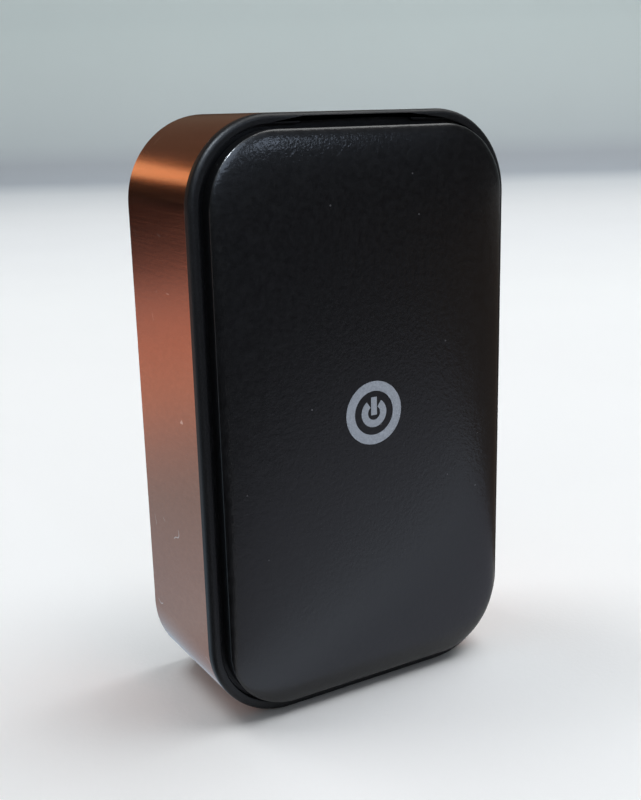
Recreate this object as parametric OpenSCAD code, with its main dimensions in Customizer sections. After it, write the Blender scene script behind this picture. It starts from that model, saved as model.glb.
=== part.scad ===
// A small GPS tracker that stands on its short side.
// +Z runs up its long side, its front faces -Y, and the origin is the middle of its base.

/* [Case] */
// Height of the case, along its long side
case_h = 47; // [46:0.5:54]
// Width of the case
case_w = 28.1; // [28:0.1:34]
// Radius of the case's corners, seen from the front
corner_r = 6.7; // [6.3:0.1:7.5]
// Depth of the metal sleeve, front to back
sleeve_depth = 10.8; // [10.8:0.1:13]
// Wall of the metal sleeve
sleeve_wall = 1; // [0.8:0.05:1.05]
// Clearance between the sleeve and what fits inside it
sleeve_gap = 0.1; // [0.05:0.01:0.15]

/* [Front frame] */
// Thickness of the rim, in front of the sleeve
rim_t = 0.8; // [0.7:0.05:1]
// Width of the rim's front face
rim_w = 0.81; // [0.7:0.01:0.95]
// Distance from the rim's front face back to the ledge under the cover
ledge_drop = 0.5; // [0.45:0.05:0.6]
// Wall of the skirt inside the sleeve
skirt_wall = 0.8; // [0.6:0.05:0.9]
// Distance from the sleeve's front edge back to the deck
deck_drop = 1.3; // [1.2:0.05:1.3]
// Thickness of the deck
deck_t = 0.8; // [0.6:0.05:0.8]
// Width of the finger-nail notch in the top of the rim
notch_w = 10; // [7:0.5:12]
// How far the notch cuts into the rim's width
notch_cut = 0.41; // [0.3:0.01:0.5]

/* [Front cover] */
// Gap between the rim and the cover
cover_gap = 0.31; // [0.25:0.01:0.35]
// How far the cover's edge stands in front of the rim
cover_proud = 0.85; // [0.7:0.05:1]
// Height of the crown over the cover's edge
crown_h = 0.8; // [0.6:0.05:1]
// Travel of the cover and the key when they are pressed
press_travel = 0.3; // [0.2:0.05:0.3]
// Wall of the cover's inner skirt
cover_skirt_wall = 0.8; // [0.6:0.05:0.9]
// Clearance between the cover's skirt and the frame's
cover_skirt_gap = 0.12; // [0.1:0.01:0.15]
// Width of each hook at the cover's bottom edge
hook_w = 3; // [2:0.25:3.5]

/* [Rear cover] */
// How far the rear cover stands behind the sleeve
rear_proud = 1; // [0.9:0.05:1.2]
// How far the rear cover's outline lies inside the sleeve's
rear_in = 0.4; // [0.3:0.05:0.5]
// Thickness of the rear cover's floor
floor_t = 1.2; // [1.1:0.05:1.2]
// Depth of the lip that fits inside the sleeve
lip_depth = 2; // [1:0.25:3]
// Radius of the four screw pillars
pillar_r = 1.8; // [1.6:0.05:1.9]

/* [Screws] */
// Distance of each screw from the two outer sides of its corner
screw_in = 5.45; // [5.4:0.05:5.6]
// Radius of the screw's shank
screw_r = 0.8; // [0.7:0.05:0.85]
// Radius of the screw's head
head_r = 1.5; // [1.4:0.05:1.5]
// Height of the screw's head
head_h = 0.8; // [0.6:0.05:0.9]
// Length of the screw under its head
screw_l = 6; // [5:0.25:6.5]

/* [Board] */
// Thickness of the circuit board
board_t = 1; // [0.8:0.05:1]
// Clearance between the board's edge and the skirt
board_gap = 0.2; // [0.15:0.05:0.3]
// Height of the ceramic antenna
patch_t = 4; // [3.5:0.1:4]
// How far the shield can stands off the board
can_t = 1.6; // [1.4:0.05:1.6]

/* [Key] */
// Height of the key's middle over the middle of the case
key_up = 0.62; // [0.4:0.01:0.8]
// Radius of the key pad in its hole in the deck
key_r = 2.6; // [2.3:0.05:2.7]
// How far the key pad stands in front of the deck
key_proud = 0.35; // [0.3:0.05:0.4]
// Thickness of the flange that keeps the key pad behind the deck
key_flange_t = 0.3; // [0.25:0.05:0.4]
// Side of the square switch
switch_side = 3.6; // [3:0.1:4]
// Height of the switch over the board, without its plunger
switch_t = 0.8; // [0.75:0.05:0.8]
// How far the switch's plunger stands out
plunger_out = 0.4; // [0.35:0.05:0.4]
// Radius of the switch's plunger
plunger_r = 1; // [0.8:0.05:1.2]

/* [Card] */
// Length of the card
card_l = 12.3; // [12.2:0.1:12.3]
// Width of the card
card_w = 8.8; // [8.7:0.1:8.8]
// Thickness of the card
card_t = 0.67; // [0.6:0.01:0.7]
// Room between the lower screw pillars and the card
card_low_gap = 0.75; // [0.7:0.05:1.2]
// Room left beside the card when it is all the way out
card_end_gap = 0.5; // [0.4:0.05:0.6]

/* [Charging socket] */
// Width of the socket's shell
usb_w = 7.5; // [7.4:0.1:7.6]
// Height of the socket's shell, off the board
usb_t = 2.6; // [2.5:0.1:2.8]
// Length of the socket's shell
usb_l = 5; // [4.8:0.1:5.6]
// Sheet of the socket's shell
usb_wall = 0.3; // [0.2:0.05:0.3]
// Margin of the slot in the sleeve round the socket
usb_margin = 0.4; // [0.3:0.05:0.5]

/* [Battery] */
// Room between the cell and the rear cover's lip, on each side
cell_side_gap = 1.9; // [1.5:0.1:3]
// Thickness of the cell
cell_t = 4; // [3.5:0.1:4]
// Height of the cell's protection board
cell_board_h = 2.2; // [1.8:0.1:2.5]
// Thickness of the film between the cell and the circuit board
film_t = 0.1; // [0.05:0.05:0.15]
// Thickness of the pad between the cell and the magnets
pad_t = 0.2; // [0.1:0.05:0.3]
// Radius of a lead, over its insulation
lead_r = 0.35; // [0.3:0.05:0.4]

/* [Magnets] */
// Radius of each magnet
magnet_r = 5; // [4:0.25:5.5]
// Thickness of each magnet
magnet_t = 1.5; // [1.2:0.05:1.5]
// Distance between the middles of the magnets
magnet_pitch = 17; // [13:0.5:19]

/* [Hidden] */
$fn = 48;
hull_fn = 32;
over = 0.5;

// Planes from front to back, along Y
depth = crown_h + cover_proud + rim_t + sleeve_depth + rear_proud;
y_crown = -depth / 2;
y_edge = y_crown + crown_h;
y_rim = y_edge + cover_proud;
y_ledge = y_rim + ledge_drop;
y_sleeve = y_rim + rim_t;
y_deck = y_sleeve + deck_drop;
y_deck_back = y_deck + deck_t;
y_sleeve_end = y_sleeve + sleeve_depth;
y_rear = y_sleeve_end + rear_proud;
y_floor = y_rear - floor_t;
y_magnet = y_floor - magnet_t;
y_pad = y_magnet - pad_t;
y_cell = y_pad - cell_t;
y_board_back = y_cell - film_t;
y_board = y_board_back - board_t;

// Insets from the outline of the case
skirt_in = sleeve_wall + sleeve_gap;
deck_in = skirt_in + skirt_wall;
board_in = deck_in + board_gap;
cover_in = rim_w + cover_gap;
cover_skirt_in = deck_in + cover_skirt_gap;
cover_skirt_end_in = cover_skirt_in + cover_skirt_wall;

// Half width and ends of the board
board_x = case_w / 2 - board_in;
board_top = case_h - board_in;

// The cover keeps a little room behind it at the end of its press
press_spare = 0.05;
press_room = press_travel + press_spare;
y_cover_back = y_ledge - press_room;
film_antenna_t = 0.1;
y_skirt_end = y_deck - press_room - film_antenna_t;

// Insets of the crown's steps from the cover's edge, and the share of the crown's height at each
crown_in = [0.02, 0.2, 0.6, 1.4, 2.8, 4.8, 7.5];
crown_shares = [0, 0.22, 0.42, 0.62, 0.81, 0.94, 1];
crown_root = 0.2;
least_r = 0.5;

// Pocket under the cover's middle, which keeps its wall even
pocket_margin = 0.4;
pocket_in = cover_skirt_end_in + pocket_margin;
pocket_depth = 0.6;
y_pocket = y_cover_back - pocket_depth;
boss_r = 2.5;

// Hooks, one on each side of the middle, and their windows in the frame's skirt
hook_corner_gap = 2.35;
hook_x = case_w / 2 - corner_r - hook_corner_gap;
hook_t = 0.4;
hook_lip_gap = 0.325;
hook_side_gap = 0.3;
hook_tip_gap = 0.3;
y_hook = y_sleeve + hook_lip_gap;

// Key and switch
key_z = case_h / 2 + key_up;
key_gap = 0.2;
key_flange_w = 0.8;
key_flange_r = key_r + key_flange_w;
key_stem_r = 1.1;
y_key = y_deck - key_proud;
y_switch = y_board - switch_t;
y_plunger = y_switch - plunger_out;
switch_sheet = 0.15;
plunger_gap = 0.05;
plunger_in = 0.3;
plunger_spare = 0.05;

// Screws
screw_gap = 0.05;
hole_gap = 0.15;
head_gap = 0.1;
head_sink = 0.4;
recess_w = 0.35;
recess_depth = 0.4;
screw_x = case_w / 2 - screw_in;
screw_places = [for (x = [-screw_x, screw_x]) for (z = [screw_in, case_h - screw_in]) [x, z]];

// Antenna and shield can, side by side between the key and the upper screws
upper_key_gap = 0.88;
upper_screw_gap = 0.35;
upper_low = key_z + key_flange_r + upper_key_gap;
upper_high = case_h - screw_in - pillar_r - upper_screw_gap;
upper_z = (upper_low + upper_high) / 2;
patch_end_gap = 0.5;
patch_side = upper_high - upper_low - 2 * patch_end_gap;
patch_side_gap = 1.35;
patch_x = patch_side / 2 + patch_side_gap - board_x;
patch_can_gap = 1.5;
window_gap = 0.4;
electrode_t = 0.05;
electrode_side_gap = 1;
can_side_gap = 0.65;
can_w = board_x - can_side_gap - patch_can_gap - patch_x - patch_side / 2;
can_l = upper_high - upper_low;
can_x = board_x - can_side_gap - can_w / 2;
can_sheet = 0.2;

// Chips: width, height up the board, and thickness
power_size = [3, 3, 0.8];
motion_size = [2, 2, 0.9];
chip_gap = 0.6;
chip_row_gap = 0.4;
chip_row_h = 2.2;
can_inside = can_w - 2 * can_sheet;
processor_side_gap = 1.5;
processor_l = can_l - 2 * can_sheet - chip_gap - 2 * chip_row_gap - chip_row_h;
processor_size = [can_inside - 2 * processor_side_gap, processor_l, 0.9];
chip_row_shares = [0.4, 0.25];
memory_size = [can_inside * chip_row_shares[0], chip_row_h, 0.8];
crystal_size = [can_inside * chip_row_shares[1], chip_row_h, 0.7];
processor_z = upper_low + can_sheet + chip_gap + processor_size[1] / 2;
chip_row_z = processor_z + processor_size[1] / 2 + chip_row_gap;
low_up = 2.2;
low_z = board_in + low_up;
power_x_share = -0.3;
power_x = power_x_share * board_x;
motion_x = 0.2;

// Small resistors and capacitors: size, and places as shares of the board's half width and height
passive_size = [1, 0.5, 0.4];
passive_shares = [
    [0.05, 0.105], [0.18, 0.035], [0.18, 0.07], [0.18, 0.105], [0.36, 0.035], [0.36, 0.07], [0.36, 0.105],
    [-0.74, 0.47], [-0.74, 0.51], [-0.74, 0.55], [0.74, 0.47], [0.74, 0.51], [0.74, 0.55], [0.88, 0.47],
    [0.88, 0.51], [0.25, 0.42], [0.4, 0.42], [0.55, 0.42], [0.7, 0.42]
];

// Film antenna on the deck, and its clip on the board
film_antenna_gap = 0.7;
film_antenna_w = case_w - 2 * (screw_in + head_r + film_antenna_gap);
film_antenna_l = 4.4;
film_antenna_drop = 4.7;
film_antenna_z = case_h - film_antenna_drop;
film_antenna_r = 0.6;
clip_w = 1;
clip_l = 2;
clip_sheet = 0.15;
clip_slot_gap = 0.4;

// Card and its socket
card_margin = 0.7;
card_x = card_margin - board_x;
card_z = screw_in + pillar_r + card_low_gap + card_w / 2;
card_travel = board_x - card_end_gap - card_x - card_l;
card_corner = 1.65;
card_play = 0.1;
card_clear = 0.03;
card_roof = 0.1;
socket_floor = 0.4;
socket_sheet = 0.15;
socket_stop = 0.35;
socket_end_gap = 0.1;
socket_end_x = card_x + card_travel - socket_end_gap;
y_socket_floor = y_board - socket_floor;
y_card_back = y_socket_floor - card_clear;
y_card = y_card_back - card_t;
y_socket_roof = y_card - card_roof;
card_window_gap = [0.3, 0.45];
card_window = [card_l + card_travel + 2 * card_window_gap[0], card_w + 2 * card_window_gap[1]];
card_window_x = card_x + (card_l + card_travel) / 2;
contact_size = [1.6, 1.2, 0.2];
contact_pitch = [7.62, 2.54];
contact_sink = 0.02;

// Charging socket and the slot in front of it
usb_sleeve_gap = 0.2;
usb_z = sleeve_wall + usb_sleeve_gap;
usb_y = y_board_back + usb_t / 2;
usb_chamfer = 0.7;
tongue_w = 3.7;
tongue_t = 0.6;
tongue_short = 1;
tongue_block = 1.2;
tongue_gap = 0.03;
usb_contact_w = 0.35;
usb_contact_t = 0.08;
usb_contact_pitch = 0.65;
usb_contact_count = 5;

// Lamps beside the key
led_size = [1.6, 0.8, 0.6];
led_gap = 1.4;
led_x = key_flange_r + led_gap + led_size[0] / 2;
led_hole_r = 0.6;

// Battery, between the lower and the upper pillars
cell_w = case_w - 2 * (deck_in + cell_side_gap);
cell_end_gap = 0.55;
cell_top = case_h - screw_in - pillar_r - cell_end_gap;
lead_room = 2.05;
cell_board_z = screw_in + pillar_r + lead_room;
cell_z = cell_board_z + cell_board_h;
cell_r = 1.5;
cell_board_in = 1.25;
cell_board_w = cell_w - 2 * cell_board_in;
cell_board_t = 0.8;
y_lead = y_cell + cell_t / 2;
lead_bend = 0.9;
lead_drop = 0.3;
lead_red_x = 2.6;
lead_black_x = 4.4;
film_margin = 0.3;
pad_in = 2;

// Rounding of the rear cover's edge, as shares of how far it stands out
rear_edge_shares = [0.15, 0.6];

// Rings that hold the magnets
ring_gap = 0.1;
ring_wall = 0.8;
magnet_places = [-magnet_pitch / 2, magnet_pitch / 2];

// Rounded rectangle, a given distance inside the case's outline
module outline(inset) {
    w = case_w - 2 * inset;
    h = case_h - 2 * inset;
    r = max(corner_r - inset, least_r);
    square([w - 2 * r, h], center = true);
    square([w, h - 2 * r], center = true);
    for (x = [r - w / 2, w / 2 - r]) for (z = [r - h / 2, h / 2 - r])
        translate([x, z])
            circle(r);
}

// Plate with that outline, between two planes along Y
module slab(inset, y0, y1) {
    translate([0, y1, case_h / 2])
        rotate([90, 0, 0])
            linear_extrude(y1 - y0)
                outline(inset);
}

// Round bar along Y
module bar(x, z, r, y0, y1) {
    translate([x, y1, z])
        rotate([90, 0, 0])
            cylinder(r = r, h = y1 - y0);
}

// Box between two planes along Y, given by the middle, width and height that show from the front
module block(x, z, w, h, y0, y1) {
    translate([x - w / 2, y0, z - h / 2])
        cube([w, y1 - y0, h]);
}

// Part that stands on the front of the board
module on_board(x, z, size) {
    block(x, z, size[0], size[1], y_board - size[2], y_board);
}

module sleeve() {
    slot_r = usb_t / 2 + usb_margin;
    slot_x = usb_w / 2 + usb_margin - slot_r;
    color("#8c5a48")
        difference() {
            slab(0, y_sleeve, y_sleeve_end);
            slab(sleeve_wall, y_sleeve - over, y_sleeve_end + over);
            for (x = [-slot_x, slot_x])
                translate([x, usb_y, -over])
                    cylinder(r = slot_r, h = sleeve_wall + 2 * over);
            translate([-slot_x, usb_y - slot_r, -over])
                cube([2 * slot_x, 2 * slot_r, sleeve_wall + 2 * over]);
        }
}

module nail_notch() {
    z_in = case_h - rim_w;
    z_out = z_in + notch_cut;
    translate([0, y_ledge, 0])
        rotate([90, 0, 0])
            linear_extrude(ledge_drop + over)
                polygon([
                    [-notch_w / 2 - over, z_in - over],
                    [notch_w / 2 + over, z_in - over],
                    [notch_w / 2, z_in],
                    [notch_w / 2 - notch_cut, z_out],
                    [notch_cut - notch_w / 2, z_out],
                    [-notch_w / 2, z_in]
                ]);
}

module front_frame() {
    color("#141416")
        difference() {
            union() {
                slab(0, y_rim, y_sleeve);
                slab(skirt_in, y_sleeve, y_deck_back);
                for (p = screw_places)
                    bar(p[0], p[1], pillar_r, y_deck_back, y_board);
            }
            slab(rim_w, y_rim - over, y_ledge);
            slab(deck_in, y_rim - over, y_deck);
            nail_notch();
            for (x = [-hook_x, hook_x])
                translate([x - hook_w / 2 - hook_side_gap, y_sleeve, skirt_in - over])
                    cube([hook_w + 2 * hook_side_gap, deck_drop, skirt_wall + 2 * over]);
            for (p = screw_places) {
                bar(p[0], p[1], head_r + head_gap, y_deck - over, y_deck + head_sink);
                bar(p[0], p[1], screw_r + hole_gap, y_deck, y_board + over);
            }
            bar(0, key_z, key_r + key_gap, y_deck - over, y_deck_back + over);
            for (x = [-led_x, led_x])
                bar(x, key_z, led_hole_r, y_deck - over, y_deck_back + over);
            block(card_window_x, card_z, card_window[0], card_window[1], y_deck - over, y_deck_back + over);
            block(patch_x, upper_z, patch_side + 2 * window_gap, patch_side + 2 * window_gap,
                y_deck - over, y_deck_back + over);
            block(0, film_antenna_z, clip_w + 2 * clip_slot_gap, clip_l + 2 * clip_slot_gap,
                y_deck - over, y_deck_back + over);
        }
}

module crown() {
    hull()
        for (i = [0 : len(crown_in) - 1]) {
            y = y_edge - crown_h * crown_shares[i];
            slab(cover_in + crown_in[i], y, y_edge + crown_root, $fn = hull_fn);
        }
}

module front_cover() {
    hook_l = cover_skirt_in + cover_skirt_wall / 2 - sleeve_wall - hook_tip_gap;
    color("#111214") {
        difference() {
            union() {
                crown();
                slab(cover_in, y_edge, y_cover_back);
            }
            slab(pocket_in, y_pocket, y_cover_back + over);
        }
        difference() {
            slab(cover_skirt_in, y_cover_back, y_skirt_end);
            slab(cover_skirt_end_in, y_cover_back - over, y_skirt_end + over);
        }
        bar(0, key_z, boss_r, y_pocket, y_key);
        for (x = [-hook_x, hook_x])
            translate([x - hook_w / 2, y_hook, sleeve_wall + hook_tip_gap])
                cube([hook_w, hook_t, hook_l]);
    }
}

module rear_shell() {
    edge_in = rear_proud * rear_edge_shares[0];
    face_in = rear_proud * rear_edge_shares[1];
    hull() {
        slab(rear_in, y_sleeve_end, y_rear - face_in, $fn = hull_fn);
        slab(rear_in + edge_in, y_sleeve_end, y_rear - edge_in, $fn = hull_fn);
        slab(rear_in + face_in, y_sleeve_end, y_rear, $fn = hull_fn);
    }
}

module rear_cover() {
    y_screw_end = y_deck + head_sink + screw_l + over;
    color("#18181a")
        difference() {
            union() {
                rear_shell();
                slab(skirt_in, y_floor, y_sleeve_end);
                difference() {
                    slab(skirt_in, y_floor - lip_depth, y_floor);
                    slab(deck_in, y_floor - lip_depth - over, y_floor + over);
                }
                for (p = screw_places)
                    bar(p[0], p[1], pillar_r, y_board_back, y_floor);
                for (z = magnet_places)
                    bar(0, case_h / 2 + z, magnet_r + ring_gap + ring_wall, y_magnet, y_floor);
            }
            for (z = magnet_places)
                bar(0, case_h / 2 + z, magnet_r + ring_gap, y_magnet - over, y_floor);
            for (p = screw_places)
                bar(p[0], p[1], screw_r + screw_gap, y_board_back - over, y_screw_end);
        }
}

module case_screw(x, z) {
    y_seat = y_deck + head_sink;
    y_head = y_seat - head_h;
    difference() {
        union() {
            bar(x, z, head_r, y_head, y_seat);
            bar(x, z, screw_r, y_seat, y_seat + screw_l);
        }
        block(x, z, head_r + recess_w, recess_w, y_head - over, y_head + recess_depth);
        block(x, z, recess_w, head_r + recess_w, y_head - over, y_head + recess_depth);
    }
}

module case_screws() {
    color("#9a9ca0")
        for (p = screw_places)
            case_screw(p[0], p[1]);
}

module main_board() {
    color("#155034")
        difference() {
            slab(board_in, y_board, y_board_back);
            for (p = screw_places)
                bar(p[0], p[1], screw_r + hole_gap, y_board - over, y_board_back + over);
        }
}

module shield_can() {
    color("#b9bbc0")
        difference() {
            on_board(can_x, upper_z, [can_w, can_l, can_t]);
            block(can_x, upper_z, can_inside, can_l - 2 * can_sheet,
                y_board - can_t + can_sheet, y_board + over);
        }
}

module processor_chip() {
    color("#1c1d20")
        on_board(can_x, processor_z, processor_size);
}

module memory_chip() {
    x = can_x - can_inside / 2 + chip_gap + memory_size[0] / 2;
    color("#202124")
        on_board(x, chip_row_z + memory_size[1] / 2, memory_size);
}

module power_chip() {
    color("#1e1f22")
        on_board(power_x, low_z, power_size);
}

module motion_sensor() {
    color("#26272b")
        on_board(motion_x, low_z, motion_size);
}

module crystal() {
    x = can_x + can_inside / 2 - chip_gap - crystal_size[0] / 2;
    color("#c4c6ca")
        on_board(x, chip_row_z + crystal_size[1] / 2, crystal_size);
}

module board_passives() {
    color("#8a7a66")
        for (s = passive_shares)
            on_board(s[0] * board_x, board_in + s[1] * (board_top - board_in), passive_size);
}

module gnss_antenna() {
    color("#c9b48a")
        on_board(patch_x, upper_z, [patch_side, patch_side, patch_t]);
}

module gnss_electrode() {
    side = patch_side - 2 * electrode_side_gap;
    color("#d4d6da")
        block(patch_x, upper_z, side, side, y_board - patch_t - electrode_t, y_board - patch_t);
}

module cellular_antenna() {
    w = film_antenna_w;
    h = film_antenna_l;
    r = film_antenna_r;
    color("#b8752c")
        translate([0, y_deck, film_antenna_z])
            rotate([90, 0, 0])
                linear_extrude(film_antenna_t) {
                    square([w - 2 * r, h], center = true);
                    square([w, h - 2 * r], center = true);
                    for (x = [r - w / 2, w / 2 - r]) for (z = [r - h / 2, h / 2 - r])
                        translate([x, z])
                            circle(r);
                }
}

module antenna_clip() {
    color("#d9c27a") {
        block(0, film_antenna_z, clip_w, clip_l, y_board - clip_sheet, y_board);
        block(0, film_antenna_z, clip_w, clip_l, y_deck, y_deck + clip_sheet);
        block(0, film_antenna_z + (clip_l - clip_sheet) / 2, clip_w, clip_sheet, y_deck, y_board);
    }
}

module socket_walls(x0, x1, z_in, wall, y0, y1) {
    for (z = [card_z - z_in - wall, card_z + z_in])
        translate([x0, y0, z])
            cube([x1 - x0, y1 - y0, wall]);
}

module sim_socket_base() {
    x0 = card_x - socket_stop;
    half = card_w / 2 + card_play;
    room = y_socket_floor - y_socket_roof;
    color("#2a2b2e")
        difference() {
            translate([x0, y_socket_roof, card_z - half])
                cube([socket_end_x - x0, y_board - y_socket_roof, 2 * half]);
            translate([card_x - card_play / 2, y_socket_roof - over, card_z - half - over])
                cube([socket_end_x - card_x + over, room + over, 2 * (half + over)]);
            sim_contact_pads(over);
        }
}

// Six contact pads in the socket's floor, with an overrun where they cut it
module sim_contact_pads(more) {
    for (i = [0 : 1]) for (k = [-1 : 1])
        translate([
            card_x + card_l / 2 + (i - 1 / 2) * contact_pitch[0] - contact_size[0] / 2,
            y_socket_floor + contact_sink - more,
            card_z + k * contact_pitch[1] - contact_size[1] / 2
        ])
            cube([contact_size[0], contact_size[2] + more, contact_size[1]]);
}

module sim_contacts() {
    color("#d8b860")
        sim_contact_pads(0);
}

module sim_socket_shell() {
    x0 = card_x - socket_stop;
    half = card_w / 2 + card_play;
    color("#bfc1c6") {
        translate([x0, y_socket_roof - socket_sheet, card_z - half - socket_sheet])
            cube([socket_end_x - x0, socket_sheet, 2 * (half + socket_sheet)]);
        socket_walls(x0, socket_end_x, half, socket_sheet, y_socket_roof, y_board);
    }
}

module sim_card() {
    color("#e6e6e4")
        translate([0, y_card_back, 0])
            rotate([90, 0, 0])
                linear_extrude(card_t)
                    polygon([
                        [card_x, card_z - card_w / 2],
                        [card_x + card_l, card_z - card_w / 2],
                        [card_x + card_l, card_z + card_w / 2],
                        [card_x + card_corner, card_z + card_w / 2],
                        [card_x, card_z + card_w / 2 - card_corner]
                    ]);
}

module switch_body() {
    color("#222326")
        difference() {
            block(0, key_z, switch_side, switch_side, y_switch + switch_sheet, y_board);
            bar(0, key_z, plunger_r + plunger_gap, y_switch - over,
                y_switch + plunger_in + press_travel + plunger_spare);
        }
}

module switch_frame() {
    color("#c8cacd") {
        difference() {
            block(0, key_z, switch_side + 2 * switch_sheet, switch_side, y_switch, y_switch + switch_sheet);
            bar(0, key_z, plunger_r + plunger_gap, y_switch - over, y_switch + over);
        }
        for (s = [-1, 1])
            block(s * (switch_side + switch_sheet) / 2, key_z, switch_sheet, switch_side / 2,
                y_switch + switch_sheet, y_board);
    }
}

module switch_plunger() {
    color("#ece9df")
        bar(0, key_z, plunger_r, y_plunger, y_switch + plunger_in);
}

module key_pad() {
    color("#2c2d31") {
        bar(0, key_z, key_r, y_key, y_deck_back);
        bar(0, key_z, key_flange_r, y_deck_back, y_deck_back + key_flange_t);
        bar(0, key_z, key_stem_r, y_deck_back + key_flange_t, y_plunger);
    }
}

module status_leds() {
    color("#dfe6ea")
        for (x = [-led_x, led_x])
            on_board(x, key_z, led_size);
}

// Outline of the charging socket's shell, seen from below, a given distance inside its sheet
module usb_outline(inset) {
    x = usb_w / 2 - inset;
    polygon([
        [-x, inset],
        [x, inset],
        [x, usb_t - usb_chamfer - inset / 2],
        [x - usb_chamfer, usb_t - inset],
        [usb_chamfer - x, usb_t - inset],
        [-x, usb_t - usb_chamfer - inset / 2]
    ]);
}

module usb_shell() {
    color("#c2c4c8")
        translate([0, y_board_back, usb_z])
            difference() {
                linear_extrude(usb_l)
                    usb_outline(0);
                translate([0, 0, -over])
                    linear_extrude(usb_l - usb_wall + over)
                        usb_outline(usb_wall);
            }
}

module usb_tongue() {
    top = usb_z + usb_l - usb_wall;
    color("#1b1b1d") {
        translate([0, y_board_back, top - tongue_block])
            linear_extrude(tongue_block)
                usb_outline(usb_wall + tongue_gap);
        translate([-tongue_w / 2, usb_y - tongue_t / 2, usb_z + tongue_short])
            cube([tongue_w, tongue_t, top - tongue_block - usb_z - tongue_short]);
    }
}

module usb_contacts() {
    low = usb_z + tongue_short;
    high = usb_z + usb_l - usb_wall - tongue_block;
    color("#d8b860")
        for (i = [0 : usb_contact_count - 1])
            translate([
                (i - (usb_contact_count - 1) / 2) * usb_contact_pitch - usb_contact_w / 2,
                usb_y + tongue_t / 2,
                low
            ])
                cube([usb_contact_w, usb_contact_t, high - low]);
}

module battery_cell() {
    h = cell_top - cell_z;
    color("#b7bbc2")
        translate([0, y_pad, cell_z + h / 2])
            rotate([90, 0, 0])
                linear_extrude(cell_t) {
                    square([cell_w - 2 * cell_r, h], center = true);
                    square([cell_w, h - 2 * cell_r], center = true);
                    for (sx = [-1, 1]) for (sz = [-1, 1])
                        translate([sx * (cell_w / 2 - cell_r), sz * (h / 2 - cell_r)])
                            circle(cell_r);
                }
}

module battery_board() {
    color("#c58a1e")
        translate([-cell_board_w / 2, y_lead - cell_board_t / 2, cell_board_z])
            cube([cell_board_w, cell_board_t, cell_board_h]);
}

// Lead from the cell's board down, round a bend and forward to its solder point on the circuit board
module battery_lead(x) {
    z_bend = cell_board_z - lead_drop;
    translate([x, y_lead, z_bend])
        cylinder(r = lead_r, h = lead_drop);
    translate([x, y_lead - lead_bend, z_bend])
        rotate([0, 90, 0])
            rotate_extrude(angle = 90)
                translate([lead_bend, 0])
                    circle(lead_r);
    bar(x, z_bend - lead_bend, lead_r, y_board_back, y_lead - lead_bend);
}

module battery_lead_red() {
    color("#c02018")
        battery_lead(lead_red_x);
}

module battery_lead_black() {
    color("#141414")
        battery_lead(lead_black_x);
}

module battery_pad() {
    h = cell_top - cell_z - 2 * pad_in;
    color("#e9e4d4")
        block(0, cell_z + pad_in + h / 2, cell_w - 2 * pad_in, h, y_pad, y_magnet);
}

module insulation_film() {
    h = cell_top - cell_board_z + film_margin;
    color("#d8901c")
        block(0, cell_board_z + h / 2, cell_w + film_margin, h, y_board_back, y_cell);
}

module magnets() {
    color("#a9abb0")
        for (z = magnet_places)
            bar(0, case_h / 2 + z, magnet_r, y_magnet, y_floor);
}

sleeve();
front_frame();
front_cover();
rear_cover();
case_screws();
main_board();
shield_can();
processor_chip();
memory_chip();
power_chip();
motion_sensor();
crystal();
board_passives();
gnss_antenna();
gnss_electrode();
cellular_antenna();
antenna_clip();
sim_socket_base();
sim_socket_shell();
sim_contacts();
sim_card();
switch_body();
switch_frame();
switch_plunger();
key_pad();
status_leds();
usb_shell();
usb_tongue();
usb_contacts();
battery_cell();
battery_board();
battery_lead_red();
battery_lead_black();
battery_pad();
insulation_film();
magnets();
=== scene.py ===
import math
import bmesh
import bpy
from mathutils import Matrix, Vector


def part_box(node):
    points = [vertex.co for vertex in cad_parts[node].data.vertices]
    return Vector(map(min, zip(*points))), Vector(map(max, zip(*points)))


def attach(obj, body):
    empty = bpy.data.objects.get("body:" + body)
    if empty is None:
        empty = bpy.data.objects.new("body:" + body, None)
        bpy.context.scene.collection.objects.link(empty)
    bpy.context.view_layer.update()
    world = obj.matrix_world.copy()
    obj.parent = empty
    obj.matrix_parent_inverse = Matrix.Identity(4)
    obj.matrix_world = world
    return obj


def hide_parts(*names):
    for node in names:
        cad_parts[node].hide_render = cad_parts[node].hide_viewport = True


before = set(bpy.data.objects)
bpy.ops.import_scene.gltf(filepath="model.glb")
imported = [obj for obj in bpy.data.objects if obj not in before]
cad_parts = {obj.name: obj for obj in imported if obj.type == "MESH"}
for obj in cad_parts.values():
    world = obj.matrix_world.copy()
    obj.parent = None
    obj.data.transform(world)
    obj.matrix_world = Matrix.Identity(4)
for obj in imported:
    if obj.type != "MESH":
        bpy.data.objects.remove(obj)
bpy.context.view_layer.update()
mm = 0.001


# ---- Camera -------------------------------------------------------------------------------------
# A close-up lens, about 9 cm from the tracker, which it sees from the front left and a little above.
# Its place, its turn and its angle of view come from the outlines in the photograph.
camera = bpy.data.objects.new("camera", bpy.data.cameras.new("camera"))
camera.data.sensor_width = 36
camera.data.lens = 49.276
camera.data.clip_start = 5 * mm
camera.data.clip_end = 10
lens_place = (-45.309, -76.090, 47.107)
heading = math.radians(-30.413)
pitch = math.radians(-14.842)
roll = math.radians(-1.456)
camera.matrix_world = (
    Matrix.Translation(Vector(lens_place) * mm)
    @ Matrix.Rotation(heading, 4, "Z")
    @ Matrix.Rotation(math.radians(90) + pitch, 4, "X")
    @ Matrix.Rotation(roll, 4, "Z")
)
bpy.context.scene.collection.objects.link(camera)
bpy.context.scene.camera = camera
bpy.context.scene.view_settings.view_transform = "Standard"


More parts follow.
